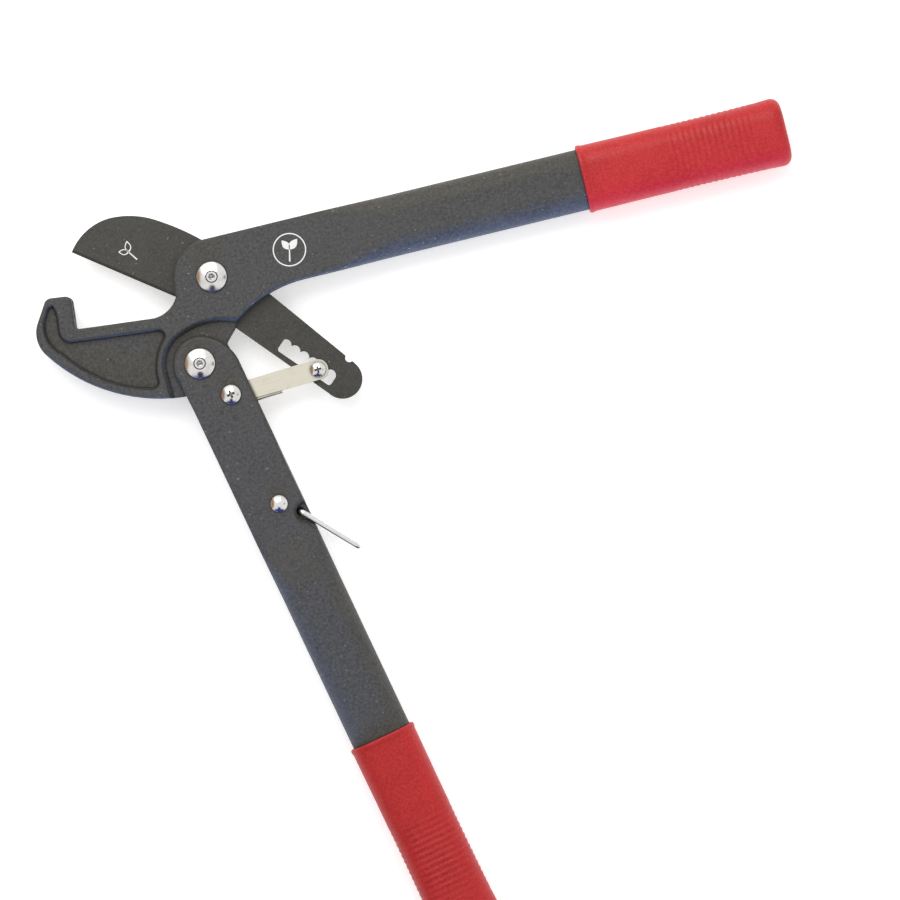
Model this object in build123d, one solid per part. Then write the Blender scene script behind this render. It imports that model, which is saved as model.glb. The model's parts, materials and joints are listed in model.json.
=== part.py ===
from build123d import *

import math
import os

# Compact ratchet anvil pruner, lying on its back and wide open. Millimetres.
# The origin is on the blade pivot's axis, in the plane that the tool lies on. +X runs along the
# anvil arm to its grip, +Y to the side that the blade opens to, +Z out of the front face.

# ---- Layers of the sandwich, as distances from its middle plane ------------------------------
MID = 12.6                  # height of the middle plane above the plane it lies on
BLADE_HALF = 2.0            # half the blade's thickness
BLADE_SLOT_HALF = 2.3       # half the slot in the anvil arm, and the link plates' inner faces
LINK_OUTER = 4.3            # link plates' outer faces, and the boss that the lower arm straddles
FORK_HALF = 4.6             # half the gap between the lower arm's cheeks
HEAD_HALF = 8.6             # half the thickness of both arms' flat heads
RUNNING = 0.05              # radial clearance of every turning pin

# ---- Pivots, in plan ------------------------------------------------------------------------
HANDLE_PIVOT = (-16.8, -42.8)
LOWER_DIRECTION = -78.4     # direction of the lower arm in plan, degrees
LINK_PIVOT = (-4.7, -62.4)
LINK_LENGTH = 47.34
LINK_DIRECTION = 2.49
LATCH_DIRECTION = -45.0
POST_R = 4.0                # posts of the two main pivots
POST_BORE_R = 2.5           # bore of a post, and the thread of its bolt
MAIN_HEAD_R = 8.15
WASHER_R = 9.0
LINK_BOLT_R = 2.5
PIN_R = 2.0                 # sleeve that runs in the ratchet slot
PIN_SCREW_R = 1.5

# ---- Handles --------------------------------------------------------------------------------
HANDLE_WIDTH = 32.3
SHAFT_HALF = 10.6           # half the thickness of the oval shafts
SHAFT_CORNER = 10.0
SHAFT_WALL = 3.2
GRIP_WALL = 2.0
GRIP_LENGTH = 110.0
GRIP_CAP = 3.0
EDGE_ROUND = 1.5            # rounding of the moulded heads' rims
CORNER_ROUND = 1.8          # rounding of their corners in plan

# ---- Anvil arm, in plan ----------------------------------------------------------------------
CHEEK_R = 20.2              # round nose of the head, about the blade pivot
ARM_CENTRE = CHEEK_R - HANDLE_WIDTH / 2
ARM_HEAD_END = 64.0
ARM_TAPER_END = 98.0
ARM_GRIP_START = 201.5
BOSS_R = 17.43
POCKET_DEPTH = 3.2
POCKET_DRAFT = 14.0         # slope of the pocket's walls, degrees
STEP_DRAFT = 24.0           # slope of the wall round the boss, degrees

# ---- Lower arm, along its own line from the handle pivot -------------------------------------
LOWER_CENTRE = 2.6          # the shaft's offset to the anvil arm's side
LOWER_HEAD_END = 104.0
LOWER_TAPER_END = 130.0
LOWER_GRIP_START = 218.0
LOWER_NOSE_R = 14.2
SPRING_PIN = (84.3, 6.25)
SPRING_PIN_R = 2.5
LATCH_PIVOT = (92.5, 14.7)
LATCH_FLOOR = 5.0           # floor of the latch's scoop, from the middle plane
LATCH_DISH = (1.3, 2.8)     # centre of the scoop's round dish, from the latch's pivot
LATCH_DISH_R = 4.6
LATCH_LANE = 1.9            # half the width of the lane that the leg lies in
LATCH_SWING = 66.0          # angle that the leg swings through, degrees
LATCH_DRAFT = 25.0          # slope of the scoop's wall, degrees
LATCH_SINK_R = 2.1          # wider mouth of the latch's hole
LATCH_SINK_FLOOR = 3.0
LATCH_WIRE_R = 1.4
PIPS = [(28.4, -0.6), (34.4, 4.6)]
PIP_R = 0.8
PIP_RISE = 0.5
LATCH_LEG = 36.4
LATCH_HALF = 7.1            # the legs' distance from the middle plane

# ---- Blade, in plan --------------------------------------------------------------------------
EDGE_TIP = (-68.9, 30.2)
EDGE_HEEL = (-21.2, -5.5)
FRONT_BEVEL = (1.5, 1.3)    # width of the front face's bevel, and the edge's height
BACK_BEVEL = (6.0, 0.9)     # width of the back face's bevel, and the edge's height
TIP_ROOM_R = 75.9           # radius of the groove that the tip sweeps in the hook
LATCH_NOTCH = (60.0, -58.3)
LATCH_NOTCH_R = 2.2
LATCH_NOTCH_ROUND = 0.8
TAIL_CENTRE = (53.9, -68.1)
TAIL_R = 10.5
RATCHET_START = (29.03, -43.78)
RATCHET_DIRECTION = -47.9
RATCHET_NOTCHES = 6
RATCHET_PITCH = 5.66
RATCHET_NOTCH_R = 3.1
RATCHET_FIRST_REACH = 2.4   # of the slot's squared end beyond the first notch's centre
RATCHET_DEPTH = 4.8         # of the slot's straight side below the notches' centres

# ---- Ratchet link and its spring -------------------------------------------------------------
LINK_HUB_R = 5.0
LINK_END_R = 5.4
LINK_WEB_START = 2.2
LINK_WEB_END = 26.0
LINK_WEB_OUTER = -6.9
LINK_WEB_INNER = -5.4
LINK_SKIRT_OUTER = 3.6      # the skirt's face, set back from the link plates' outer faces
LINK_BEND_R = 1.3
SPRING_HOLE_R = 0.9
SPRING_WIRE_R = 0.45
SPRING_COIL_R = 2.8
SPRING_TURNS = 36
HOOK_R = 2.0                # ring through the link's web
EYE_R = 3.1                 # ring round the spring pin

# ---- Fasteners' heads ------------------------------------------------------------------------
MAIN_HEAD_RIM = 0.9         # straight rim under the crown
MAIN_HEAD_HEIGHT = 3.4
GROOVE_R = 3.3              # turned groove in the main bolts' crowns
GROOVE_WIDTH = 0.6
GROOVE_FLOOR = 1.9
CORE_TOP = 2.9              # flat middle inside the groove
SOCKET_R = 1.8
SOCKET_FLOOR = 1.3
BOLT_REACH = 2.0            # of a main bolt's shank beyond the middle plane
ROLL_SHARE = 1.5            # rolled edge of a domed head, as a share of its rim
WING_SHARE = 0.27           # width of a cross recess's wings, as a share of their span
CROSS_DEPTH = 0.50
CROSS_FLOOR = 0.36          # radius of the recess's floor
LINK_HEAD_R = 5.3
LINK_HEAD_HEIGHT = 2.9
LINK_CROSS = 4.4
LINK_NUT_HEIGHT = 3.2
RIVET_HEAD_R = 4.6
PIN_HEAD_R = 4.2
PIN_HEAD_HEIGHT = 2.6
PIN_CROSS = 3.8
PIN_NUT_HEIGHT = 2.4

LOWER_FRAME = Location((*HANDLE_PIVOT, MID), (0, 0, LOWER_DIRECTION))
LINK_FRAME = Location((*LINK_PIVOT, MID), (0, 0, LINK_DIRECTION))
ARM_FRAME = Pos(0, 0, MID)


def polar(centre, radius, angle):
    """The point at a distance and an angle in degrees from a centre."""
    turn = math.radians(angle)
    return (centre[0] + radius * math.cos(turn), centre[1] + radius * math.sin(turn))


def slab(face, low, high):
    """The prism over a plan, from one height to another."""
    return extrude(Pos(0, 0, low) * face, high - low, dir=(0, 0, 1))


def twin_slabs(face, inner, outer):
    """The same prism on both sides of the middle plane."""
    return slab(face, inner, outer) + slab(face, -outer, -inner)


def twin_pits(face, floor, mouth, draft):
    """A drafted hollow on both sides of the middle plane, wider at its mouth."""
    pit = extrude(Pos(0, 0, floor) * face, mouth - floor, dir=(0, 0, 1), taper=-draft)
    return pit + mirror(pit, about=Plane.XY)


def rod(centre, radius, low, high):
    """An upright cylinder."""
    return slab(Pos(*centre) * Circle(radius), low, high)


def outline(*edges):
    """The plan inside a closed run of edges."""
    return make_face(list(edges))


def into_lower(point):
    """A point of the plan, measured along and across the lower arm."""
    turn = math.radians(LOWER_DIRECTION)
    x, y = point[0] - HANDLE_PIVOT[0], point[1] - HANDLE_PIVOT[1]
    return (x * math.cos(turn) + y * math.sin(turn), y * math.cos(turn) - x * math.sin(turn))


# ---- Handles ---------------------------------------------------------------------------------
def section(start, width, height, corner):
    """A rounded rectangle across the handle, at a distance along it."""
    plane = Plane(origin=(start, 0, 0), x_dir=(0, 1, 0), z_dir=(1, 0, 0))
    return plane * RectangleRounded(width, height, corner)


def shaft(head_end, taper_end, length):
    """The handle behind a flat head: a taper from the flat section to an oval cored tube."""
    flat = section(head_end, HANDLE_WIDTH, 2 * HEAD_HALF, EDGE_ROUND)
    oval = section(taper_end, HANDLE_WIDTH, 2 * SHAFT_HALF, SHAFT_CORNER)
    tube = extrude(oval, length - taper_end, dir=(1, 0, 0))
    core = section(taper_end + 15, HANDLE_WIDTH - 2 * SHAFT_WALL, 2 * (SHAFT_HALF - SHAFT_WALL),
                   SHAFT_CORNER - SHAFT_WALL)
    return loft([flat, oval]) + tube - extrude(core, length, dir=(1, 0, 0))


def grip():
    """A slip-on sleeve with a closed round end, from its mouth at x = 0."""
    outer = section(0, HANDLE_WIDTH + 2 * GRIP_WALL, 2 * (SHAFT_HALF + GRIP_WALL),
                    SHAFT_CORNER + GRIP_WALL)
    sleeve = extrude(outer, GRIP_LENGTH, dir=(1, 0, 0))
    sleeve = fillet(sleeve.faces().sort_by(Axis.X)[-1].edges(), 5.0)
    sleeve = fillet(sleeve.faces().sort_by(Axis.X)[0].edges(), 0.7)
    socket = section(0, HANDLE_WIDTH, 2 * SHAFT_HALF, SHAFT_CORNER)
    return sleeve - extrude(socket, GRIP_LENGTH - GRIP_CAP, dir=(1, 0, 0))


def rounded_plate(face, end):
    """A flat moulded head: corners and rims are rounded, except where the shaft carries on."""
    corners = [corner for corner in face.vertices() if corner.X < end - 0.01]
    plate = slab(fillet(corners, CORNER_ROUND), -HEAD_HALF, HEAD_HALF)
    rims = [
        edge
        for edge in plate.edges()
        if abs(abs(edge.center().Z) - HEAD_HALF) < 0.01 and edge.center().X < end - 0.01
    ]
    return fillet(rims, EDGE_ROUND)


# ---- Anvil arm -------------------------------------------------------------------------------
def anvil_head_plan():
    """Nose, throat, anvil, hook, belly, boss and the flared underside, counter-clockwise."""
    top = CHEEK_R
    under = CHEEK_R - HANDLE_WIDTH
    boss_end = polar(HANDLE_PIVOT, BOSS_R, 240)
    boss_top = polar(HANDLE_PIVOT, BOSS_R, 24)
    return outline(
        Line((ARM_HEAD_END, top), (0, top)),
        CenterArc((0, 0), CHEEK_R, 90, 90),
        Line((-CHEEK_R, 0), (-20.9, -5.9)),
        ThreePointArc((-20.9, -5.9), (-25.6, -11.1), (-34.7, -14.0)),
        Line((-34.7, -14.0), (-76.1, -9.92)),
        Line((-76.1, -9.92), (-74.7, 4.6)),
        ThreePointArc((-74.7, 4.6), (-75.5, 7.1), (-77.8, 8.2)),
        Line((-77.8, 8.2), (-84.9, 9.1)),
        ThreePointArc((-84.9, 9.1), (-87.4, 8.6), (-89.1, 6.8)),
        Line((-89.1, 6.8), (-95.4, -3.2)),
        ThreePointArc((-95.4, -3.2), (-97.0, -8.5), (-93.9, -20.0)),
        ThreePointArc((-93.9, -20.0), (-66.2, -45.9), boss_end),
        ThreePointArc(boss_end, polar(HANDLE_PIVOT, BOSS_R, -48), boss_top),
        Line(boss_top, (5.4, -28.9)),
        Line((5.4, -28.9), (7.5, -25.0)),
        Line((7.5, -25.0), (14.3, -20.7)),
        ThreePointArc((14.3, -20.7), (29.0, -14.6), (47.2, under)),
        Line((47.2, under), (ARM_HEAD_END, under)),
        Line((ARM_HEAD_END, under), (ARM_HEAD_END, top)),
    )


def boss_step_plan():
    """Where the head is cut down to the boss, so that the lower arm's cheeks can swing."""
    return outline(
        Line((-34.1, -64), (-34.75, -44.5)),
        ThreePointArc((-34.75, -44.5), polar(HANDLE_PIVOT, 18.0, 135), (-21.9, -25.6)),
        ThreePointArc((-21.9, -25.6), (-10.7, -23.1), (5.0, -25.4)),
        Line((5.0, -25.4), (12, -28)),
        Line((12, -28), (12, -64)),
        Line((12, -64), (-34.1, -64)),
    )


def pocket_plan():
    """The sunk field inside the jaw's raised rim."""
    return outline(
        Line((-85.2, 4.4), (-84.3, 1.0)),
        Line((-84.3, 1.0), (-85.1, -9.4)),
        ThreePointArc((-85.1, -9.4), (-84.0, -13.6), (-80.4, -16.0)),
        Line((-80.4, -16.0), (-34.6, -20.7)),
        ThreePointArc((-34.6, -20.7), (-31.8, -22.6), (-32.4, -25.6)),
        ThreePointArc((-32.4, -25.6), (-38.2, -34.3), (-40.5, -45.3)),
        ThreePointArc((-40.5, -45.3), (-41.6, -48.9), (-44.8, -49.2)),
        ThreePointArc((-44.8, -49.2), (-68.5, -38.2), (-85.7, -20.6)),
        ThreePointArc((-85.7, -20.6), (-91.9, -7.8), (-88.4, 2.0)),
        ThreePointArc((-88.4, 2.0), (-86.9, 4.2), (-85.2, 4.4)),
    )


def blade_room_plan():
    """The space that the blade sweeps inside the head, open at the throat and underneath."""
    return outline(
        *Polyline(
            (-36, -14.4), (-12, -17.4), (-5, -20.6), (10, -35.9), (60, -60), (78, -14),
            (76, -7), (8.3, 11.2), (-4, 26), (-36, 26), close=True,
        ).edges()
    )


def tip_room_plan():
    """The groove in the hook's inner side that lets the blade's tip pass."""
    swept = Circle(TIP_ROOM_R)
    return swept & (Pos(-74, -9.9) * Rectangle(10, 24, align=(Align.CENTER, Align.MIN)))


def anvil_arm():
    """Hooked anvil, head and handle in one glass-filled moulding."""
    body = rounded_plate(anvil_head_plan(), ARM_HEAD_END)
    body += Pos(0, ARM_CENTRE) * shaft(
        ARM_HEAD_END, ARM_TAPER_END, ARM_GRIP_START + GRIP_LENGTH - GRIP_CAP)
    body -= slab(blade_room_plan(), -BLADE_SLOT_HALF, BLADE_SLOT_HALF)
    body -= slab(tip_room_plan(), -BLADE_SLOT_HALF, BLADE_SLOT_HALF)
    body -= twin_pits(boss_step_plan(), LINK_OUTER, HEAD_HALF, STEP_DRAFT)
    body -= twin_pits(pocket_plan(), HEAD_HALF - POCKET_DEPTH, HEAD_HALF, POCKET_DRAFT)
    body -= rod((0, 0), POST_R, -HEAD_HALF, HEAD_HALF)
    body -= rod(HANDLE_PIVOT, POST_R + RUNNING, -HEAD_HALF, HEAD_HALF)
    return ARM_FRAME * body


def anvil_arm_grip():
    return Pos(ARM_GRIP_START, ARM_CENTRE, MID) * grip()


# ---- Lower arm -------------------------------------------------------------------------------
def lower_head_plan():
    """A straight fork with a round nose that flares to the anvil arm's side."""
    low = LOWER_CENTRE - HANDLE_WIDTH / 2
    high = LOWER_CENTRE + HANDLE_WIDTH / 2
    return outline(
        Line((LOWER_HEAD_END, low), (22, low)),
        Line((22, low), (0, -LOWER_NOSE_R)),
        ThreePointArc((0, -LOWER_NOSE_R), (-14.1, -0.8), (-11.6, 8.6)),
        ThreePointArc((-11.6, 8.6), (-3.2, 16.2), (9.0, high)),
        Line((9.0, high), (LOWER_HEAD_END, high)),
        Line((LOWER_HEAD_END, high), (LOWER_HEAD_END, low)),
    )


def fork_plan():
    """The gap between the cheeks: round the boss, then for the link, then for its spring."""
    nose = Pos(19, 0) * Rectangle(60, 60, align=(Align.MAX, Align.CENTER))
    nose += Circle(BOSS_R + 2.6)
    link_room = Pos(0, -9.5) * Rectangle(56, 40, align=(Align.MIN, Align.MIN))
    spring_room = Pos(0, -9.5) * Rectangle(89.5, 22, align=(Align.MIN, Align.MIN))
    return nose + link_room + spring_room


def latch_scoop_plan():
    """A dish beside the latch's pivot, opened over the angle that its leg swings through."""
    lie = LATCH_DIRECTION - LOWER_DIRECTION
    swung = lie + LATCH_SWING
    reach = 22
    low = polar(LATCH_PIVOT, LATCH_LANE, lie - 90)
    high = polar(LATCH_PIVOT, LATCH_LANE, swung + 90)
    lane = outline(
        *Polyline(LATCH_PIVOT, low, polar(low, reach, lie), polar(high, reach, swung), high,
                  close=True).edges()
    )
    return Pos(*LATCH_PIVOT) * (Pos(*LATCH_DISH) * Circle(LATCH_DISH_R)) + lane


def lower_arm():
    """Forked head and handle in one moulding, with the latch's scoops and two moulding pips."""
    body = rounded_plate(lower_head_plan(), LOWER_HEAD_END)
    body += Pos(0, LOWER_CENTRE) * shaft(
        LOWER_HEAD_END, LOWER_TAPER_END, LOWER_GRIP_START + GRIP_LENGTH - GRIP_CAP)
    body -= slab(fork_plan(), -FORK_HALF, FORK_HALF)
    body -= twin_pits(latch_scoop_plan(), LATCH_FLOOR, HEAD_HALF, LATCH_DRAFT)
    body -= twin_slabs(Pos(*LATCH_PIVOT) * Circle(LATCH_SINK_R), LATCH_SINK_FLOOR, HEAD_HALF)
    body -= twin_slabs(Pos(*LATCH_PIVOT) * Circle(LATCH_WIRE_R + RUNNING), 1.5, HEAD_HALF)
    body -= rod((0, 0), POST_R, -HEAD_HALF, HEAD_HALF)
    body -= rod(into_lower(LINK_PIVOT), LINK_BOLT_R, -HEAD_HALF, HEAD_HALF)
    body -= rod(SPRING_PIN, SPRING_PIN_R, -HEAD_HALF, HEAD_HALF)
    for pip in PIPS:
        body += Pos(*pip, HEAD_HALF - PIP_R + PIP_RISE) * Sphere(PIP_R)
    return LOWER_FRAME * body


def lower_arm_grip():
    return LOWER_FRAME * Pos(LOWER_GRIP_START, LOWER_CENTRE) * grip()


# ---- Blade -----------------------------------------------------------------------------------
def ratchet_slot_plan():
    """A row of round notches on one side of a straight slot, from the first notch's centre."""
    length = (RATCHET_NOTCHES - 1) * RATCHET_PITCH + RATCHET_FIRST_REACH + RATCHET_NOTCH_R
    slot = Pos(length / 2 - RATCHET_FIRST_REACH, -RATCHET_DEPTH / 2) * RectangleRounded(
        length, RATCHET_DEPTH, 1.6)
    for notch in range(RATCHET_NOTCHES):
        slot += Pos(notch * RATCHET_PITCH, 0) * Circle(RATCHET_NOTCH_R)
    slot -= Pos(-RATCHET_FIRST_REACH, 0) * Rectangle(
        10, 20, align=(Align.MAX, Align.CENTER))
    return Location((*RATCHET_START, 0), (0, 0, RATCHET_DIRECTION)) * slot


def bevel(width, edge_height):
    """What is ground off the front face along the cutting edge, down to the edge's height."""
    run = math.hypot(EDGE_HEEL[0] - EDGE_TIP[0], EDGE_HEEL[1] - EDGE_TIP[1])
    angle = math.degrees(math.atan2(EDGE_HEEL[1] - EDGE_TIP[1], EDGE_HEEL[0] - EDGE_TIP[0]))
    wedge = Polyline(
        (0, -1, edge_height), (0, 0, edge_height), (0, width, BLADE_HALF),
        (0, width, BLADE_HALF + 1), (0, -1, BLADE_HALF + 1), close=True,
    )
    ground = extrude(make_face(wedge.edges()), run + 30, dir=(1, 0, 0))
    return Location((*EDGE_TIP, 0), (0, 0, angle)) * Pos(-22, 0, 0) * ground


def blade():
    """One plate: cutting part above the pivot, ratchet arm with its latch notch below."""
    corner = (-2.5, -19.5)
    plan = outline(
        Line(EDGE_HEEL, EDGE_TIP),
        ThreePointArc(EDGE_TIP, (-59.1, 39.1), (-45.7, 43.0)),
        ThreePointArc((-45.7, 43.0), (-32.2, 41.0), (-20.5, 35.5)),
        ThreePointArc((-20.5, 35.5), (-10.6, 28.7), (-1.3, 20.9)),
        Line((-1.3, 20.9), (28.2, -16.8)),
        Line((28.2, -16.8), (62.1, -61.4)),
        Line((62.1, -61.4), (45.3, -74.0)),
        Line((45.3, -74.0), corner),
        Line(corner, EDGE_HEEL),
    )
    plan += Pos(*TAIL_CENTRE) * Circle(TAIL_R)
    plan -= Pos(*LATCH_NOTCH) * Circle(LATCH_NOTCH_R)
    lips = [
        corner
        for corner in plan.vertices()
        if math.dist((corner.X, corner.Y), LATCH_NOTCH) < LATCH_NOTCH_R + 0.01
    ]
    plan = fillet(lips, LATCH_NOTCH_ROUND)
    plan -= ratchet_slot_plan()
    plan -= Circle(POST_R + RUNNING)
    body = slab(plan, -BLADE_HALF, BLADE_HALF)
    body -= bevel(*FRONT_BEVEL)
    body -= mirror(bevel(BACK_BEVEL[0], -BACK_BEVEL[1]), about=Plane.XY)
    return ARM_FRAME * body


# ---- Ratchet link, pin and spring ------------------------------------------------------------
def ratchet_link():
    """Two side plates and the bent web that joins them under the blade's arm."""
    plate = make_hull(
        (Circle(LINK_HUB_R) + Pos(LINK_LENGTH, 0) * Circle(LINK_END_R)).edges())
    skirt = Pos(LINK_WEB_START, LINK_WEB_OUTER) * Rectangle(
        LINK_WEB_END - LINK_WEB_START, -LINK_WEB_OUTER, align=(Align.MIN, Align.MIN))
    fold = slab(skirt, -LINK_SKIRT_OUTER, LINK_SKIRT_OUTER)
    bends = [
        edge
        for edge in fold.edges().filter_by(Axis.X)
        if edge.center().Y < LINK_WEB_OUTER + 0.01
    ]
    fold = fillet(bends, LINK_BEND_R)
    hollow = Pos(0, LINK_WEB_INNER) * Rectangle(
        LINK_LENGTH, -LINK_WEB_INNER + LINK_END_R, align=(Align.MIN, Align.MIN))
    body = fold + twin_slabs(plate, BLADE_SLOT_HALF, LINK_OUTER)
    body -= slab(hollow, -BLADE_SLOT_HALF, BLADE_SLOT_HALF)
    body -= rod((0, 0), LINK_BOLT_R + RUNNING, -LINK_OUTER, LINK_OUTER)
    body -= rod((LINK_LENGTH, 0), PIN_SCREW_R, -LINK_OUTER, LINK_OUTER)
    hole = Pos(LINK_WEB_START + 3.0, LINK_WEB_OUTER - 1, 0) * Rot(-90, 0, 0) * Cylinder(
        SPRING_HOLE_R, 4, align=(Align.CENTER, Align.CENTER, Align.MIN))
    return LINK_FRAME * (body - hole)


def spring_ends():
    """Centres of the spring's hook and eye, along and across the lower arm."""
    ring = (LINK_WEB_START + 1.0, (LINK_WEB_OUTER + LINK_WEB_INNER) / 2)
    turn = math.radians(LINK_DIRECTION)
    hook = into_lower((
        LINK_PIVOT[0] + ring[0] * math.cos(turn) - ring[1] * math.sin(turn),
        LINK_PIVOT[1] + ring[0] * math.sin(turn) + ring[1] * math.cos(turn),
    ))
    return hook, SPRING_PIN


def link_spring():
    """Tension spring that pulls the link down into the next notch."""
    hook, eye = spring_ends()
    run = math.hypot(eye[0] - hook[0], eye[1] - hook[1])
    lie = math.degrees(math.atan2(eye[1] - hook[1], eye[0] - hook[0]))
    start = HOOK_R + 5.0
    end = run - EYE_R - 4.0
    helix = Helix((end - start) / SPRING_TURNS, end - start, SPRING_COIL_R)
    coil = sweep(
        Plane(helix @ 0, z_dir=helix % 0) * Circle(SPRING_WIRE_R), path=helix, is_frenet=True)
    body = Pos(start, 0, 0) * Rot(0, 90, 0) * coil
    body += Torus(HOOK_R, SPRING_WIRE_R)
    body += Pos(run, 0, 0) * Torus(EYE_R, SPRING_WIRE_R)
    for low, high in [(HOOK_R, start), (end, run - EYE_R)]:
        body += Pos(low, 0, 0) * Rot(0, 90, 0) * Cylinder(
            SPRING_WIRE_R, high - low, align=(Align.CENTER, Align.CENTER, Align.MIN))
    for place in (start + SPRING_WIRE_R / 2, end - SPRING_WIRE_R / 2):
        body += Pos(place, 0, -SPRING_COIL_R) * Cylinder(
            SPRING_WIRE_R, SPRING_COIL_R, align=(Align.CENTER, Align.CENTER, Align.MIN))
    return LOWER_FRAME * Location((*hook, 0), (0, 0, lie)) * body


# ---- Latch -----------------------------------------------------------------------------------
def latch_wire():
    """A bail: two legs beside the arm, a crossbar, and ends bent into the arm's faces."""
    stub = 1.9
    path = FilletPolyline(
        (0, 0, -stub), (0, 0, -LATCH_HALF), (LATCH_LEG, 0, -LATCH_HALF),
        (LATCH_LEG, 0, LATCH_HALF), (0, 0, LATCH_HALF), (0, 0, stub), radius=2.0,
    )
    wire = sweep(Pos(0, 0, -stub) * Circle(LATCH_WIRE_R), path=path)
    return LOWER_FRAME * Location(
        (*LATCH_PIVOT, 0), (0, 0, LATCH_DIRECTION - LOWER_DIRECTION)) * wire


# ---- Fasteners -------------------------------------------------------------------------------
def dome(radius, rim, height):
    """A round head on z = 0: a short straight rim, a rolled edge and a spherical crown."""
    rise = height - rim
    ball = (radius ** 2 + rise ** 2) / (2 * rise)
    half = radius / 2
    shoulder = height - ball + math.sqrt(ball ** 2 - half ** 2)
    profile = outline(
        Line((0, 0, 0), (radius, 0, 0)),
        Line((radius, 0, 0), (radius, 0, rim)),
        ThreePointArc((radius, 0, rim), (half, 0, shoulder), (0, 0, height)),
        Line((0, 0, height), (0, 0, 0)),
    )
    head = revolve(profile, Axis.Z)
    sharp = [edge for edge in head.edges().filter_by(GeomType.CIRCLE) if abs(edge.center().Z - rim) < 0.01]
    return fillet(sharp, ROLL_SHARE * rim)


def cross_recess(size, top):
    """What a cross-head driver enters: two wings that deepen towards the middle."""
    wings = Box(size, WING_SHARE * size, size, align=(Align.CENTER, Align.CENTER, Align.MAX))
    wings += Rot(0, 0, 90) * wings
    point = Cone(CROSS_FLOOR * size, size / 2, CROSS_DEPTH * size,
                 align=(Align.CENTER, Align.CENTER, Align.MAX))
    return Pos(0, 0, top) * (wings & point)


def hex_socket(size, floor):
    """A hexagonal driver socket with a drilled, pointed floor."""
    point = Cone(0.01, 0.8 * size, 0.4 * size, align=(Align.CENTER, Align.CENTER, Align.MAX))
    return Pos(0, 0, floor) * (slab(RegularPolygon(size, 6), 0, MAIN_HEAD_HEIGHT) + point)


def pivot_bolt():
    """Domed bolt with a hex socket inside a turned groove, screwed into its post from the front."""
    head = dome(MAIN_HEAD_R, MAIN_HEAD_RIM, MAIN_HEAD_HEIGHT)
    groove = Circle(GROOVE_R) - Circle(GROOVE_R - GROOVE_WIDTH)
    head -= slab(groove, GROOVE_FLOOR, MAIN_HEAD_HEIGHT)
    head -= rod((0, 0), GROOVE_R - GROOVE_WIDTH, CORE_TOP, MAIN_HEAD_HEIGHT)
    head -= hex_socket(SOCKET_R, SOCKET_FLOOR)
    return Pos(0, 0, HEAD_HALF) * head + rod((0, 0), POST_BORE_R, -BOLT_REACH, HEAD_HALF)


def pivot_post():
    """Flat-headed threaded post that carries the pivot, from the back face."""
    post = rod((0, 0), POST_R, -HEAD_HALF, HEAD_HALF)
    flange = rod((0, 0), MAIN_HEAD_R, -MID, -HEAD_HALF)
    flange = chamfer(flange.faces().sort_by(Axis.Z)[0].edges(), 0.8)
    return post + flange - rod((0, 0), POST_BORE_R, -BOLT_REACH, HEAD_HALF)


def washers(inner, outer):
    """A pair of thin thrust washers round a post, one on each side of the middle layer."""
    ring = Circle(WASHER_R) - Circle(POST_R + RUNNING)
    return [slab(ring, inner, outer), slab(ring, -outer, -inner)]


def hex_nut(across, thickness, bore):
    """A plain nut, on z = 0."""
    nut = slab(RegularPolygon(across / 2, 6, major_radius=False), 0, thickness)
    return nut - rod((0, 0), bore, 0, thickness)


def link_bolt():
    head = dome(LINK_HEAD_R, 0.8, LINK_HEAD_HEIGHT)
    head -= cross_recess(LINK_CROSS, LINK_HEAD_HEIGHT)
    shank = rod((0, 0), LINK_BOLT_R, -HEAD_HALF - LINK_NUT_HEIGHT - 0.2, HEAD_HALF)
    return Pos(0, 0, HEAD_HALF) * head + shank


def link_nut():
    return Pos(0, 0, -HEAD_HALF - LINK_NUT_HEIGHT) * hex_nut(8.0, LINK_NUT_HEIGHT, LINK_BOLT_R)


def spring_pin():
    """Solid rivet across the fork: a domed head in front and an upset one behind."""
    body = Pos(0, 0, HEAD_HALF) * dome(RIVET_HEAD_R, 0.5, 2.6)
    body += rod((0, 0), SPRING_PIN_R, -HEAD_HALF, HEAD_HALF)
    return body + rod((0, 0), 4.2, -HEAD_HALF - 1.4, -HEAD_HALF)


def ratchet_screw():
    head = dome(PIN_HEAD_R, 0.7, PIN_HEAD_HEIGHT)
    head -= cross_recess(PIN_CROSS, PIN_HEAD_HEIGHT)
    shank = rod((0, 0), PIN_SCREW_R, -LINK_OUTER - PIN_NUT_HEIGHT - 0.4, LINK_OUTER)
    return Pos(0, 0, LINK_OUTER) * head + shank


def ratchet_nut():
    return Pos(0, 0, -LINK_OUTER - PIN_NUT_HEIGHT) * hex_nut(5.5, PIN_NUT_HEIGHT, PIN_SCREW_R)


def ratchet_sleeve():
    """Hard sleeve on the screw, which seats in the blade's notches."""
    return slab(Circle(PIN_R) - Circle(PIN_SCREW_R), -BLADE_SLOT_HALF, BLADE_SLOT_HALF)


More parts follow.
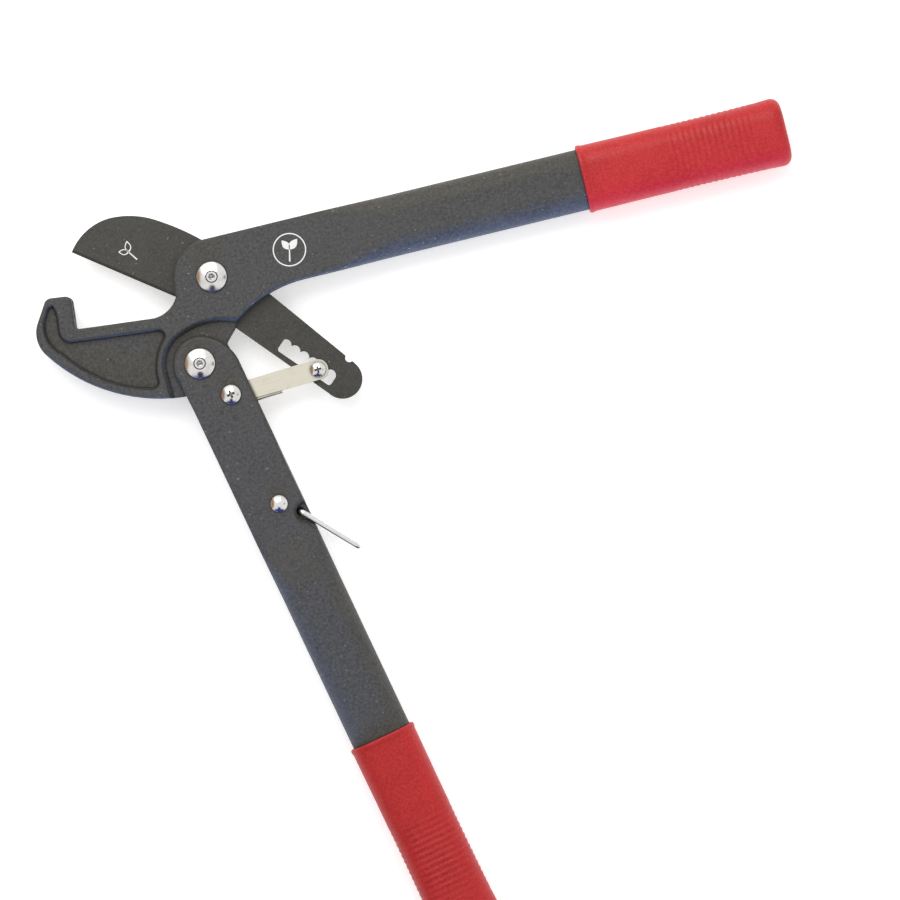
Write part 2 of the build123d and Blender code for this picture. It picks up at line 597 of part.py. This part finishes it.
def export_all():
    """Writes every sub-part in the tool's own frame."""
    link_pin = LOWER_FRAME * Pos(*into_lower(LINK_PIVOT))
    ratchet_pin = LINK_FRAME * Pos(LINK_LENGTH, 0)
    nodes = {
        "anvil_arm": anvil_arm(),
        "anvil_arm_grip": anvil_arm_grip(),
        "blade_pivot_bolt": ARM_FRAME * pivot_bolt(),
        "blade_pivot_post": ARM_FRAME * pivot_post(),
        "blade_washers": Compound([ARM_FRAME * ring for ring in washers(BLADE_HALF, BLADE_SLOT_HALF)]),
        "blade": blade(),
        "lower_arm": lower_arm(),
        "lower_arm_grip": lower_arm_grip(),
        "handle_pivot_bolt": LOWER_FRAME * pivot_bolt(),
        "handle_pivot_post": LOWER_FRAME * pivot_post(),
        "handle_washers": Compound([LOWER_FRAME * ring for ring in washers(LINK_OUTER, FORK_HALF)]),
        "link_bolt": link_pin * link_bolt(),
        "link_nut": link_pin * link_nut(),
        "spring_pin": LOWER_FRAME * Pos(*SPRING_PIN) * spring_pin(),
        "link_spring": link_spring(),
        "latch_wire": latch_wire(),
        "ratchet_link": ratchet_link(),
        "ratchet_screw": ratchet_pin * ratchet_screw(),
        "ratchet_nut": ratchet_pin * ratchet_nut(),
        "ratchet_sleeve": ratchet_pin * ratchet_sleeve(),
    }
    os.makedirs("parts", exist_ok=True)
    for name, shape in nodes.items():
        export_step(shape, f"parts/{name}.step")


export_all()
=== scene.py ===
import json
import math

import bpy
import bmesh
from mathutils import Matrix, Vector

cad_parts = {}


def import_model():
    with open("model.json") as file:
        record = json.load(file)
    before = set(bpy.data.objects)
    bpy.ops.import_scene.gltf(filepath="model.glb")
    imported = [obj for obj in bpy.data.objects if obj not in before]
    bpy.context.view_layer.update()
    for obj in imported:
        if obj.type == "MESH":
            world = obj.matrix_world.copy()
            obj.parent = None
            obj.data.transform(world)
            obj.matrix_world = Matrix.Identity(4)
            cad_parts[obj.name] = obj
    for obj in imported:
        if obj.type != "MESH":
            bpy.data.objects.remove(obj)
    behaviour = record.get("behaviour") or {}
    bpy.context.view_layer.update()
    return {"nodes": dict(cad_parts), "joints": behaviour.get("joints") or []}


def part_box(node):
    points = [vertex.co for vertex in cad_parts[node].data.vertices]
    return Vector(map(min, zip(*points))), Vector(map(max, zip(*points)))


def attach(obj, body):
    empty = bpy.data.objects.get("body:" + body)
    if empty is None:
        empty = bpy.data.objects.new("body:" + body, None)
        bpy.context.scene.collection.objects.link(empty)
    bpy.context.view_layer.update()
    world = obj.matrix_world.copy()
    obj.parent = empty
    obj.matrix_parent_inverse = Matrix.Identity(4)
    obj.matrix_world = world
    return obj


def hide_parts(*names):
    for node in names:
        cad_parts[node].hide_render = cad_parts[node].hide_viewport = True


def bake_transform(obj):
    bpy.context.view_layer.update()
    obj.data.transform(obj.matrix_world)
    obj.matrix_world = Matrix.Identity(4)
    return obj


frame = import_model()
MM = 0.001


# ---- Places, read from the frame ---------------------------------------------------------------
def joint(name):
    return next(j for j in frame["joints"] if j["name"] == name)


BLADE_PIVOT = Vector(joint("blade_pivot")["pos_m"])
HANDLE_PIVOT = Vector(joint("handle_pivot")["pos_m"])
MID = BLADE_PIVOT.z
LOWER_DIRECTION = math.radians(-78.4)
LINK_DIRECTION = math.radians(2.49)
LATCH_DIRECTION = math.radians(-45)
BLADE_GRAIN = math.radians(-36.8)
ARM_HALF_THICKNESS = 8.6 * MM
FRONT_FACE = MID + ARM_HALF_THICKNESS
PIP_FOOT = FRONT_FACE + 0.1 * MM    # painted shade darkens the arms' rims below it, not the pips above it
BLADE_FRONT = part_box("blade")[1].z

LOWER_FRAME = Matrix.Translation(HANDLE_PIVOT) @ Matrix.Rotation(LOWER_DIRECTION, 4, "Z")
ANVIL_FRAME = Matrix.Translation(BLADE_PIVOT)


def box_along(place, node):
    """A node's lowest and highest corners, measured in an arm's own frame."""
    back = place.inverted()
    points = [back @ vertex.co for vertex in frame["nodes"][node].data.vertices]
    low = Vector([min(point[axis] for point in points) for axis in range(3)])
    high = Vector([max(point[axis] for point in points) for axis in range(3)])
    return low, high


# ---- Node materials ----------------------------------------------------------------------------
class Surface:
    """A material under construction: a Principled shader and short ways to feed it."""

    def __init__(self, name, **constants):
        self.material = bpy.data.materials.new(name)
        self.material.use_nodes = True
        self.tree = self.material.node_tree
        self.shader = self.tree.nodes["Principled BSDF"]
        self.place = self.add("ShaderNodeTexCoord").outputs["Object"]
        for socket, value in constants.items():
            self.shader.inputs[socket.replace("_", " ")].default_value = value

    def add(self, kind, **settings):
        node = self.tree.nodes.new(kind)
        for name, value in settings.items():
            setattr(node, name, value)
        return node

    def link(self, source, target):
        self.tree.links.new(source, target)

    def stretched(self, along, across, turn=0.0):
        """Object coordinates turned about Z and squeezed along the grain."""
        node = self.add("ShaderNodeMapping", vector_type="TEXTURE")
        node.inputs["Rotation"].default_value = (0, 0, turn)
        node.inputs["Scale"].default_value = (along, across, across)
        self.link(self.place, node.inputs["Vector"])
        return node.outputs["Vector"]

    def noise(self, scale, detail=3.0, rough=0.5, at=None):
        node = self.add("ShaderNodeTexNoise")
        node.inputs["Scale"].default_value = scale
        node.inputs["Detail"].default_value = detail
        node.inputs["Roughness"].default_value = rough
        self.link(at or self.place, node.inputs["Vector"])
        return node.outputs["Fac"]

    def ramp(self, value, stops):
        """Maps a value through (position, grey or colour) stops."""
        node = self.add("ShaderNodeValToRGB")
        elements = node.color_ramp.elements
        while len(elements) < len(stops):
            elements.new(0.5)
        for element, (position, colour) in zip(elements, stops):
            element.position = position
            grey = isinstance(colour, (int, float))
            element.color = (colour, colour, colour, 1) if grey else (*colour, 1)
        self.link(value, node.inputs["Fac"])
        return node.outputs["Color"]

    def mix(self, amount, first, second, mode="MIX"):
        """Blends two colours, each a socket or a plain colour."""
        node = self.add("ShaderNodeMix", data_type="RGBA", blend_type=mode)
        for socket, value in ((0, amount), (6, first), (7, second)):
            if isinstance(value, (int, float)):
                node.inputs[socket].default_value = value
            elif isinstance(value, tuple):
                node.inputs[socket].default_value = (*value, 1)
            else:
                self.link(value, node.inputs[socket])
        return node.outputs[2]

    def math(self, kind, first, second):
        node = self.add("ShaderNodeMath", operation=kind)
        for socket, value in enumerate((first, second)):
            if isinstance(value, (int, float)):
                node.inputs[socket].default_value = value
            else:
                self.link(value, node.inputs[socket])
        return node.outputs[0]

    def edges(self, radius):
        """1 on convex and concave edges within a radius, 0 on open faces; a mask for painted shade on
        rims.
        """
        bevel = self.add("ShaderNodeBevel", samples=4)
        bevel.inputs["Radius"].default_value = radius
        plain = self.add("ShaderNodeNewGeometry").outputs["Normal"]
        dot = self.add("ShaderNodeVectorMath", operation="DOT_PRODUCT")
        self.link(bevel.outputs["Normal"], dot.inputs[0])
        self.link(plain, dot.inputs[1])
        return self.ramp(dot.outputs["Value"], [(0.88, 1.0), (0.985, 0.0)])

    def corners(self, reach):
        """1 deep in concave corners and slots, 0 on open faces; the mask for painted shade."""
        hollow = self.add("ShaderNodeAmbientOcclusion", samples=8)
        hollow.inputs["Distance"].default_value = reach
        return self.ramp(hollow.outputs["AO"], [(0.45, 0.95), (0.92, 0.0)])

    def specks(self, scale):
        """1 on sparse pale dots of dust, 0 elsewhere."""
        return self.ramp(self.noise(scale, 1, 0.5), [(0.735, 0.0), (0.77, 0.8)])

    def height(self):
        """The Z of the object's own coordinates, in metres."""
        split = self.add("ShaderNodeSeparateXYZ")
        self.link(self.place, split.inputs[0])
        return split.outputs["Z"]

    def seam(self, height, half_width):
        """1 along the line where the mould's halves met, at one height of the object."""
        off = self.math("ABSOLUTE", self.math("SUBTRACT", self.height(), height), 0.0)
        return self.ramp(self.math("DIVIDE", off, half_width), [(0.4, 1.0), (1.0, 0.0)])

    def bumps(self, *layers):
        """Stacks (height, strength, distance in metres) into the shader's normal."""
        normal = None
        for height, strength, distance in layers:
            node = self.add("ShaderNodeBump")
            node.inputs["Strength"].default_value = strength
            node.inputs["Distance"].default_value = distance
            self.link(height, node.inputs["Height"])
            if normal:
                self.link(normal, node.inputs["Normal"])
            normal = node.outputs["Normal"]
        self.link(normal, self.shader.inputs["Normal"])

    def colour(self, socket):
        self.link(socket, self.shader.inputs["Base Color"])

    def roughness(self, socket):
        self.link(socket, self.shader.inputs["Roughness"])


def moulded_nylon(name):
    """Dark glass-filled nylon: spark-eroded grain, mottling, painted shade darkening the rims and the
    corners.
    """
    s = Surface(name, Specular_IOR_Level=0.3)
    grain = s.noise(1250, 2, 0.6)
    mottle = s.noise(700, 4, 0.7)
    patches = s.noise(42, 3, 0.55)
    base = s.ramp(mottle, [(0.32, (0.031, 0.029, 0.025)), (0.68, (0.079, 0.074, 0.064))])
    base = s.mix(s.ramp(patches, [(0.40, 0.0), (0.75, 0.30)]), base, (0.080, 0.074, 0.060))
    base = s.mix(s.specks(560), base, (0.20, 0.19, 0.16))
    under_pips = s.math("LESS_THAN", s.height(), PIP_FOOT)
    rims = s.math("MULTIPLY", s.edges(0.0018), under_pips)
    # painted shade: the rims below the pips' foot are darkened
    base = s.mix(s.math("MULTIPLY", rims, 0.75), base, (0.014, 0.013, 0.013))
    # painted shade: an ambient-occlusion mask darkens concave corners and slots
    s.colour(s.mix(s.corners(0.0013), base, (0.010, 0.009, 0.009)))
    s.roughness(s.mix(rims, s.ramp(patches, [(0.3, 0.50), (0.7, 0.62)]), (0.75, 0.75, 0.75)))
    s.bumps((grain, 0.30, 0.0002), (mottle, 0.15, 0.0002), (s.seam(MID, 0.0002), 0.5, 0.0002))
    return s.material


def red_vinyl(name):
    """Satin red dip-moulded vinyl with an orange-peel skin."""
    s = Surface(name, Specular_IOR_Level=0.3, Subsurface_Weight=0.05, Subsurface_Scale=0.002)
    s.shader.inputs["Subsurface Radius"].default_value = (1.0, 0.2, 0.15)
    cloud = s.noise(38, 4, 0.55)
    fine = s.noise(800, 3, 0.65)
    base = s.ramp(cloud, [(0.3, (0.36, 0.008, 0.009)), (0.7, (0.44, 0.013, 0.013))])
    s.colour(s.mix(s.ramp(fine, [(0.38, 0.0), (0.68, 0.8)]), base, (0.52, 0.030, 0.030)))
    s.roughness(s.ramp(cloud, [(0.3, 0.38), (0.7, 0.49)]))
    s.bumps((fine, 0.20, 0.0003), (s.noise(1600, 1, 0.5), 0.08, 0.0001))
    return s.material


def coated_blade(name):
    """Dark low-friction coating over ground steel, with painted shade darkening its edges."""
    s = Surface(name, Metallic=0.1, Specular_IOR_Level=0.4)
    grain = s.noise(1.0, 4, 0.65, s.stretched(0.03, 0.0006, BLADE_GRAIN))
    patches = s.noise(70, 4, 0.6)
    mottle = s.noise(800, 4, 0.7)
    base = s.ramp(patches, [(0.3, (0.026, 0.025, 0.021)), (0.7, (0.038, 0.037, 0.031))])
    base = s.mix(s.ramp(mottle, [(0.38, 0.0), (0.66, 0.7)]), base, (0.066, 0.063, 0.054))
    base = s.mix(s.ramp(grain, [(0.58, 0.0), (0.85, 0.25)]), base, (0.055, 0.053, 0.047))
    base = s.mix(s.specks(640), base, (0.16, 0.15, 0.13))
    # painted shade: a bevel mask darkens the edges
    s.colour(s.mix(s.math("MULTIPLY", s.edges(0.0006), 0.7), base, (0.012, 0.012, 0.011)))
    s.roughness(s.ramp(patches, [(0.3, 0.40), (0.7, 0.52)]))
    s.bumps((grain, 0.10, 0.00015), (s.noise(1300, 2, 0.5), 0.08, 0.0001))
    return s.material


def plated(name, tint, low, high, grain=None):
    """Bright plate, its roughness from low to high: brushed along a grain or even, with dull spots."""
    s = Surface(name, Metallic=1.0)
    along, across, turn = grain or (0.004, 0.004, 0.0)
    lay = s.noise(1.0, 4, 0.6, s.stretched(along, across, turn))
    spots = s.noise(260, 3, 0.6)
    dull = tuple(0.72 * c for c in tint)
    base = s.mix(s.ramp(spots, [(0.55, 0.0), (0.8, 0.5)]), tint, dull)
    base = s.mix(s.ramp(lay, [(0.45, 0.0), (0.70, 0.55)]), base, dull)
    # painted shade: an ambient-occlusion mask darkens concave corners, such as round the heads and in
    # recesses
    s.colour(s.mix(s.corners(0.0020), base, (0.02, 0.018, 0.016)))
    s.roughness(s.ramp(lay, [(0.3, low), (0.7, high)]))
    s.bumps((lay, 0.08, 0.0001), (spots, 0.04, 0.0001))
    return s.material


def plain_acetal(name):
    """Milky washer plastic with turned rings worn into it."""
    s = Surface(name, Subsurface_Weight=0.1, Subsurface_Scale=0.001)
    cloud = s.noise(300, 3, 0.5)
    s.colour(s.ramp(cloud, [(0.3, (0.62, 0.61, 0.57)), (0.7, (0.72, 0.71, 0.68))]))
    s.roughness(s.ramp(cloud, [(0.3, 0.35), (0.7, 0.5)]))
    s.bumps((cloud, 0.1, 0.0001))
    return s.material


def printed_white(name):
    """Pad-printed ink with small voids."""
    s = Surface(name, Specular_IOR_Level=0.4)
    wear = s.noise(1400, 4, 0.7)
    s.colour(s.ramp(wear, [(0.30, (0.42, 0.41, 0.40)), (0.42, (0.80, 0.79, 0.77))]))
    s.roughness(s.ramp(wear, [(0.3, 0.6), (0.7, 0.45)]))
    s.bumps((wear, 0.1, 0.00005))
    return s.material


# ---- Mesh helpers ------------------------------------------------------------------------------
def smooth_object(name, vertices, faces, material):
    mesh = bpy.data.meshes.new(name)
    mesh.from_pydata([tuple(v) for v in vertices], [], faces)
    mesh.update()
    for polygon in mesh.polygons:
        polygon.use_smooth = True
    mesh.materials.append(material)
    piece = bpy.data.objects.new(name, mesh)
    bpy.context.scene.collection.objects.link(piece)
    return piece


def rounded_ring(width, height, corner, steps=10):
    """Points round a rounded rectangle in the y-z plane, counter-clockwise from +y."""
    points = []
    for quarter, (sy, sz) in enumerate(((1, 1), (-1, 1), (-1, -1), (1, -1))):
        for k in range(steps + 1):
            turn = math.radians(90) * (quarter + k / steps)
            points.append((
                sy * (width / 2 - corner) + corner * math.cos(turn),
                sz * (height / 2 - corner) + corner * math.sin(turn),
            ))
    return points


# ---- Grips -------------------------------------------------------------------------------------
GRIP_CORNER = 12.0          # of the section, mm
GRIP_LEAST_CORNER = 1.5     # of the section where the end is drawn in, mm
GRIP_DIP = 0.42             # how far the sleeve's waist lies inside its widest outline, mm
GRIP_SWELL = 0.18           # how much further the waist's middle lies inside it, mm
WAIST_START, WAIST_LENGTH, WAIST_STEP = 6, 76, 4
RIB_START, RIB_PITCH, RIB_COUNT, RIB_DEPTH = 46.0, 3.2, 15, 0.34
RIB_STEPS = 8
RIB_FADE = 0.35             # the lower, the sooner the ribs reach their full depth
END_ROUND, END_STEPS = 5.0, 8
END_RINGS = (8.0, 10.5)     # insets of the rings on the end's flat, mm


def waist(x):
    """The inset of the sleeve's smooth surface at a distance from the mouth, mm."""
    return GRIP_DIP + GRIP_SWELL * math.sin(math.pi * (x - WAIST_START) / WAIST_LENGTH)


def grip_profile(length):
    """(distance from the mouth, inset from the widest outline) along a sleeve, mm."""
    inside = [(7.0, 1.95), (0.9, 1.93)]
    bead = [(0.25, 1.75), (0.0, 1.35), (0.0, 0.75), (0.15, 0.32), (0.5, 0.08), (1.0, 0.0),
            (1.7, 0.0), (2.3, 0.12), (2.9, 0.34), (3.6, GRIP_DIP)]
    smooth = [(x, waist(x)) for x in range(WAIST_START, int(RIB_START) - 2, WAIST_STEP)]
    ribs = []
    for step in range(RIB_COUNT * RIB_STEPS + 1):
        x = RIB_START + step * RIB_PITCH / RIB_STEPS
        fade = math.sin(math.pi * step / (RIB_COUNT * RIB_STEPS)) ** RIB_FADE
        wave = (1 - math.cos(2 * math.pi * step / RIB_STEPS)) / 2
        ribs.append((x, waist(x) + RIB_DEPTH * fade * wave))
    shoulder = [(length - 13, 0.40), (length - 10, 0.22), (length - 7, 0.08)]
    end = []
    for step in range(END_STEPS + 1):
        turn = math.radians(90) * step / END_STEPS
        end.append((length - END_ROUND * (1 - math.sin(turn)), END_ROUND * (1 - math.cos(turn))))
    end += [(length, inset) for inset in END_RINGS]
    return inside + bead + smooth + ribs + shoulder + end


def grip(name, node, body, place, material):
    """A slip-on sleeve: beaded mouth, soft swell, shallow ribs and a rounded end."""
    low, high = box_along(place, node)
    size = (high - low) / MM
    middle = (low + high) / 2
    vertices, faces = [], []
    rows = grip_profile(size.x)
    for x, inset in rows:
        corner = max(GRIP_CORNER - inset, GRIP_LEAST_CORNER)
        for y, z in rounded_ring(size.y - 2 * inset, size.z - 2 * inset, corner):
            vertices.append(place @ Vector((low.x + x * MM, middle.y + y * MM, middle.z + z * MM)))
    count = len(vertices) // len(rows)
    for row in range(len(rows) - 1):
        for k in range(count):
            a, b = row * count + k, row * count + (k + 1) % count
            faces.append((a, b, b + count, a + count))
    faces.append(tuple(range((len(rows) - 1) * count, len(rows) * count)))
    faces.append(tuple(reversed(range(count))))
    piece = smooth_object(name, vertices, faces, material)
    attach(piece, body)
    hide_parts(node)
    return piece


def bending_spring(material):
    """The link's spring: a copy of its CAD mesh in its own material, in place of the hidden CAD node."""
    piece = bpy.data.objects.new("tension_spring", frame["nodes"]["link_spring"].data.copy())
    piece.data.materials.clear()
    piece.data.materials.append(material)
    bpy.context.scene.collection.objects.link(piece)
    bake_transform(piece)
    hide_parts("link_spring")


# ---- Generic leaf mark -------------------------------------------------------------------------
INK_HEIGHT = 0.04 * MM      # above the face
INK_SINK = 0.02 * MM        # below the face
RING_RADIUS = 8.8
RING_INNER = 0.93           # of the ring's own size
LEAF_INNER = 0.72           # of an outlined leaf's own size
ARM_MARK_TURN = math.radians(-12)
BLADE_MARK_TURN = math.radians(35)


def leaf(length, width, turn, root=(0.0, 0.2), steps=16):
    """A pointed oval that grows from its root at an angle in degrees, mm."""
    upper = []
    for k in range(steps + 1):
        t = k / steps
        upper.append((length * t, width / 2 * math.sin(math.pi * t ** 0.85) ** 0.9))
    spin = Matrix.Rotation(math.radians(turn), 2)
    points = [Vector(p) for p in upper + [(x, -y) for x, y in reversed(upper[1:-1])]]
    return [spin @ point + Vector(root) for point in points]


def circle(radius, steps=64):
    turns = [2 * math.pi * k / steps for k in range(steps)]
    return [Vector((radius * math.cos(turn), radius * math.sin(turn))) for turn in turns]


def inner(points, share):
    """The same outline drawn in towards its own middle."""
    middle = sum(points, Vector((0, 0))) / len(points)
    return [middle + share * (point - middle) for point in points]


STEM = [Vector(p) for p in ((-0.40, -6.2), (0.40, -6.2), (0.30, 0.6), (-0.30, 0.6))]
LEAVES = [leaf(6.8, 3.8, 52), leaf(6.2, 3.5, 130)]


def mark(name, body, place, scale, outlined, ringed, material):
    """A two-leaf sprout, printed: flat ink on a short stem, with a ring round it or not."""
    bm = bmesh.new()

    def loop(points):
        spots = [Vector((*(scale * MM * point), -INK_SINK)) for point in points]
        return [bm.verts.new(place @ spot) for spot in spots]

    def band(points, share):
        outside, inside = loop(points), loop(inner(points, share))
        for k in range(len(points)):
            after = (k + 1) % len(points)
            bm.faces.new((outside[k], outside[after], inside[after], inside[k]))

    bm.faces.new(loop(STEM))
    for points in LEAVES:
        if outlined:
            band(points, LEAF_INNER)
        else:
            bm.faces.new(loop(points))
    if ringed:
        band(circle(RING_RADIUS), RING_INNER)
    raised = bmesh.ops.extrude_face_region(bm, geom=bm.faces[:])["geom"]
    up = place.to_3x3() @ Vector((0, 0, INK_HEIGHT + INK_SINK))
    bmesh.ops.translate(bm, vec=up, verts=[v for v in raised if isinstance(v, bmesh.types.BMVert)])
    bmesh.ops.recalc_face_normals(bm, faces=bm.faces)
    mesh = bpy.data.meshes.new(name)
    bm.to_mesh(mesh)
    bm.free()
    mesh.materials.append(material)
    piece = bpy.data.objects.new(name, mesh)
    bpy.context.scene.collection.objects.link(piece)
    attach(piece, body)
    return piece


# ---- Finishes on the CAD pieces ----------------------------------------------------------------
def paint(node, material):
    piece = frame["nodes"][node]
    for slot in piece.material_slots:
        slot.material = material


nylon = moulded_nylon("arm_nylon")
bright = plated("bright_nickel", (0.86, 0.85, 0.83), 0.12, 0.24)
finishes = {
    "anvil_arm": nylon,
    "lower_arm": nylon,
    "blade": coated_blade("coated_blade"),
    "ratchet_link": plated("link_zinc", (0.76, 0.72, 0.60), 0.26, 0.36, (0.012, 0.0003, LINK_DIRECTION)),
    "latch_wire": plated("latch_wire", (0.83, 0.83, 0.82), 0.14, 0.26, (0.02, 0.0008, LATCH_DIRECTION)),
    "ratchet_sleeve": plated("hard_sleeve", (0.45, 0.45, 0.46), 0.2, 0.32),
    "blade_washers": plain_acetal("acetal"),
}
finishes["handle_washers"] = finishes["blade_washers"]
for node in frame["nodes"]:
    paint(node, finishes.get(node, bright))

upper_grip = grip("upper_grip", "anvil_arm_grip", "anvil_arm", ANVIL_FRAME, red_vinyl("upper_vinyl"))
grip("lower_grip", "lower_arm_grip", "lower_arm", LOWER_FRAME, red_vinyl("lower_vinyl"))

bending_spring(plated("spring_wire", (0.62, 0.62, 0.62), 0.25, 0.4))

ink = printed_white("white_ink")
arm_spot = Matrix.Translation((43 * MM, 4.2 * MM, FRONT_FACE))
arm_place = arm_spot @ Matrix.Rotation(ARM_MARK_TURN, 4, "Z")
mark("arm_mark", "anvil_arm", arm_place, 1.0, outlined=False, ringed=True, material=ink)
blade_spot = Matrix.Translation((-39.5 * MM, 23.0 * MM, BLADE_FRONT))
blade_place = blade_spot @ Matrix.Rotation(BLADE_MARK_TURN, 4, "Z")
mark("blade_mark", "blade", blade_place, 0.9, outlined=True, ringed=False, material=ink)


# ---- Floor, light and camera -------------------------------------------------------------------
FLOOR_HALF = 4.0
FLOOR_DROP = 0.0002         # below the tool, so that the two never share a plane


def floor():
    """A pale paper floor that glows a little, so that it reads as white."""
    s = Surface("floor_paper", Roughness=0.9, Emission_Strength=0.44)
    s.shader.inputs["Emission Color"].default_value = (1, 1, 1, 1)
    s.colour(s.ramp(s.noise(9, 2, 0.5), [(0.3, 0.86), (0.7, 0.90)]))
    mesh = bpy.data.meshes.new("floor")
    corners = [(x * FLOOR_HALF, y * FLOOR_HALF, 0) for x, y in ((-1, -1), (1, -1), (1, 1), (-1, 1))]
    mesh.from_pydata(corners, [], [(0, 1, 2, 3)])
    mesh.materials.append(s.material)
    piece = bpy.data.objects.new("floor", mesh)
    piece.location.z = -FLOOR_DROP
    bpy.context.scene.collection.objects.link(piece)


TILT = math.radians(13.65)  # of the picture's own right, against the frame's X
VIEW_CENTRE = Vector((0.1001, -0.1179, FRONT_FACE))
VIEW_WIDTH = 0.4725
VIEW_DISTANCE = 2.5
ROOM_WHITE = (1.0, 1.0, 1.0, 1.0)
LEFT = Vector((-math.cos(TILT), math.sin(TILT), 0))
DOWN = Vector((-math.sin(TILT), -math.cos(TILT), 0))
UP = Vector((0, 0, 1))


def camera():
    """Looks straight down on the tool, turned so that the picture stands as the photo does."""
    data = bpy.data.cameras.new("camera")
    data.angle = 2 * math.atan(VIEW_WIDTH / 2 / VIEW_DISTANCE)
    view = bpy.data.objects.new("camera", data)
    above = Matrix.Translation(VIEW_CENTRE + Vector((0, 0, VIEW_DISTANCE)))
    view.matrix_world = above @ Matrix.Rotation(-TILT, 4, "Z")
    bpy.context.scene.collection.objects.link(view)
    bpy.context.scene.camera = view


def softbox(name, right, up, height, size, watts, colour=(1, 1, 1)):
    """An area light placed in the picture's own right and up directions, aimed at the tool."""
    place = Vector(VIEW_CENTRE)
    place -= right * LEFT
    place -= up * DOWN
    place.z = height
    data = bpy.data.lights.new(name, "AREA")
    data.shape = "RECTANGLE"
    data.size, data.size_y = size
    data.energy = watts
    data.color = colour
    light = bpy.data.objects.new(name, data)
    light.location = place
    light.rotation_euler = (VIEW_CENTRE - place).to_track_quat("-Z", "Y").to_euler()
    light.visible_camera = False
    bpy.context.scene.collection.objects.link(light)
    return light


def world(strength):
    """A white room, brown to the picture's left and deep blue below it; the camera sees it plain."""
    scene_world = bpy.data.worlds.new("world")
    scene_world.use_nodes = True
    tree = scene_world.node_tree
    background = tree.nodes["Background"]
    background.inputs["Strength"].default_value = strength
    toward = tree.nodes.new("ShaderNodeTexCoord").outputs["Generated"]
    colour = None
    # direction, the cosines at which its tint starts and is full, tint
    sides = [
        (LEFT, 0.72, 0.84, (0.42, 0.25, 0.14)),
        (DOWN, 0.70, 0.84, (0.03, 0.05, 0.28)),
        ((DOWN + UP).normalized(), 0.972, 0.985, (0.03, 0.03, 0.05)),
        ((UP - 1.4 * LEFT).normalized(), 0.990, 0.995, (0.25, 0.22, 0.20)),
    ]
    for direction, start, full, tint in sides:
        dot = tree.nodes.new("ShaderNodeVectorMath")
        dot.operation = "DOT_PRODUCT"
        dot.inputs[1].default_value = direction
        tree.links.new(toward, dot.inputs[0])
        amount = tree.nodes.new("ShaderNodeMapRange")
        amount.inputs["From Min"].default_value = start
        amount.inputs["From Max"].default_value = full
        tree.links.new(dot.outputs["Value"], amount.inputs["Value"])
        blend = tree.nodes.new("ShaderNodeMix")
        blend.data_type = "RGBA"
        tree.links.new(amount.outputs["Result"], blend.inputs[0])
        if colour:
            tree.links.new(colour, blend.inputs[6])
        else:
            blend.inputs[6].default_value = ROOM_WHITE
        blend.inputs[7].default_value = (*tint, 1)
        colour = blend.outputs[2]
    seen = tree.nodes.new("ShaderNodeMix")
    seen.data_type = "RGBA"
    seen.inputs[7].default_value = ROOM_WHITE
    tree.links.new(tree.nodes.new("ShaderNodeLightPath").outputs["Is Camera Ray"], seen.inputs[0])
    tree.links.new(colour, seen.inputs[6])
    tree.links.new(seen.outputs[2], background.inputs["Color"])
    bpy.context.scene.world = scene_world


def only_on(light, pieces):
    """Keeps a light off everything but some of the pieces."""
    receivers = bpy.data.collections.new(light.name + "_receivers")
    for piece in pieces:
        receivers.objects.link(piece)
    light.light_linking.receiver_collection = receivers


floor()
camera()
world(0.86)
softbox("key", right=-0.30, up=0.62, height=0.75, size=(0.9, 0.7), watts=6.0)
DEEP_BLUE = (0.20, 0.38, 1.0)
low = softbox("low_blue", right=0.1, up=-1.0, height=0.16, size=(1.2, 0.24), watts=46, colour=DEEP_BLUE)
low.visible_glossy = False  # or the dark faces mirror it and look blue from behind
only_on(low, [frame["nodes"]["anvil_arm"], frame["nodes"]["lower_arm"], upper_grip])
bpy.context.scene.view_settings.view_transform = "Standard"
